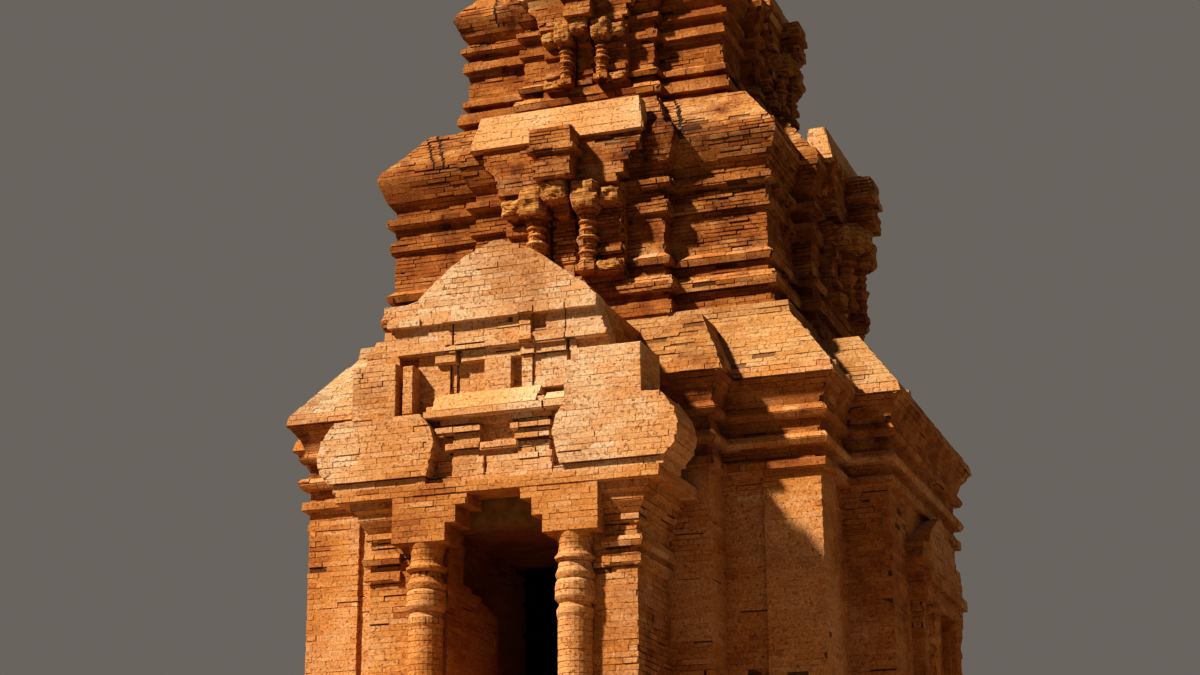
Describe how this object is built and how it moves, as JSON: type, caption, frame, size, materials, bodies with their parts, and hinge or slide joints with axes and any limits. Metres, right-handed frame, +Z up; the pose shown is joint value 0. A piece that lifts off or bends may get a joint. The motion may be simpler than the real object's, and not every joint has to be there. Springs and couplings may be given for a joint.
{
  "type": "brick temple tower",
  "caption": "Square brick Hindu temple tower with a projecting open porch, lobed pediment, corbelled vault and stepped upper tiers with niches",
  "frame": {"origin": "On the ground, under the plinth, at the tower's vertical axis", "axes": "+Z up, -Y out of the entrance, +X to the right of someone who faces the back wall from the entrance"},
  "size_m": [8.8, 12, 15.64],
  "materials": {
    "brick": "matte",
    "brick_pale": "matte",
    "brick_dark": "matte",
    "stone": "matte"
  },
  "bodies": {
    "root": {"back_wall": "brick", "base_plinth": "brick_dark", "body_cornice": "brick", "chamber_floor": "brick_dark", "colonette_left": "brick_pale", "colonette_right": "brick_pale", "crown": "stone", "door_lintel": "stone", "entrance_steps": "brick_dark", "false_door_back": "brick", "false_door_left": "brick", "false_door_right": "brick", "front_wall_left": "brick", "front_wall_over_passage": "brick", "front_wall_right": "brick", "gable_wall": "brick_pale", "impost_left": "brick", "impost_right": "brick", "inner_jamb_left": "brick", "inner_jamb_right": "brick", "lobe_left": "brick", "lobe_right": "brick", "main_roof": "brick_pale", "pediment_field": "brick", "pediment_ledge": "brick_pale", "porch_block": "brick", "porch_capital_left": "brick", "porch_capital_right": "brick", "porch_pier_left": "brick", "porch_pier_right": "brick", "porch_roof": "brick", "porch_slab": "brick", "side_wall_left": "brick", "side_wall_right": "brick", "tier1_cornice": "brick", "tier1_niche_back": "brick", "tier1_niche_front": "brick", "tier1_niche_left": "brick", "tier1_niche_right": "brick", "tier1_roof": "brick_pale", "tier1_walls": "brick", "tier2_cornice": "brick", "tier2_niche_back": "brick", "tier2_niche_front": "brick", "tier2_niche_left": "brick", "tier2_niche_right": "brick", "tier2_roof": "brick_pale", "tier2_walls": "brick", "tier3_cornice": "brick", "tier3_roof": "brick_pale", "tier3_walls": "brick", "upper_field": "brick"}
  },
  "joints": []
}
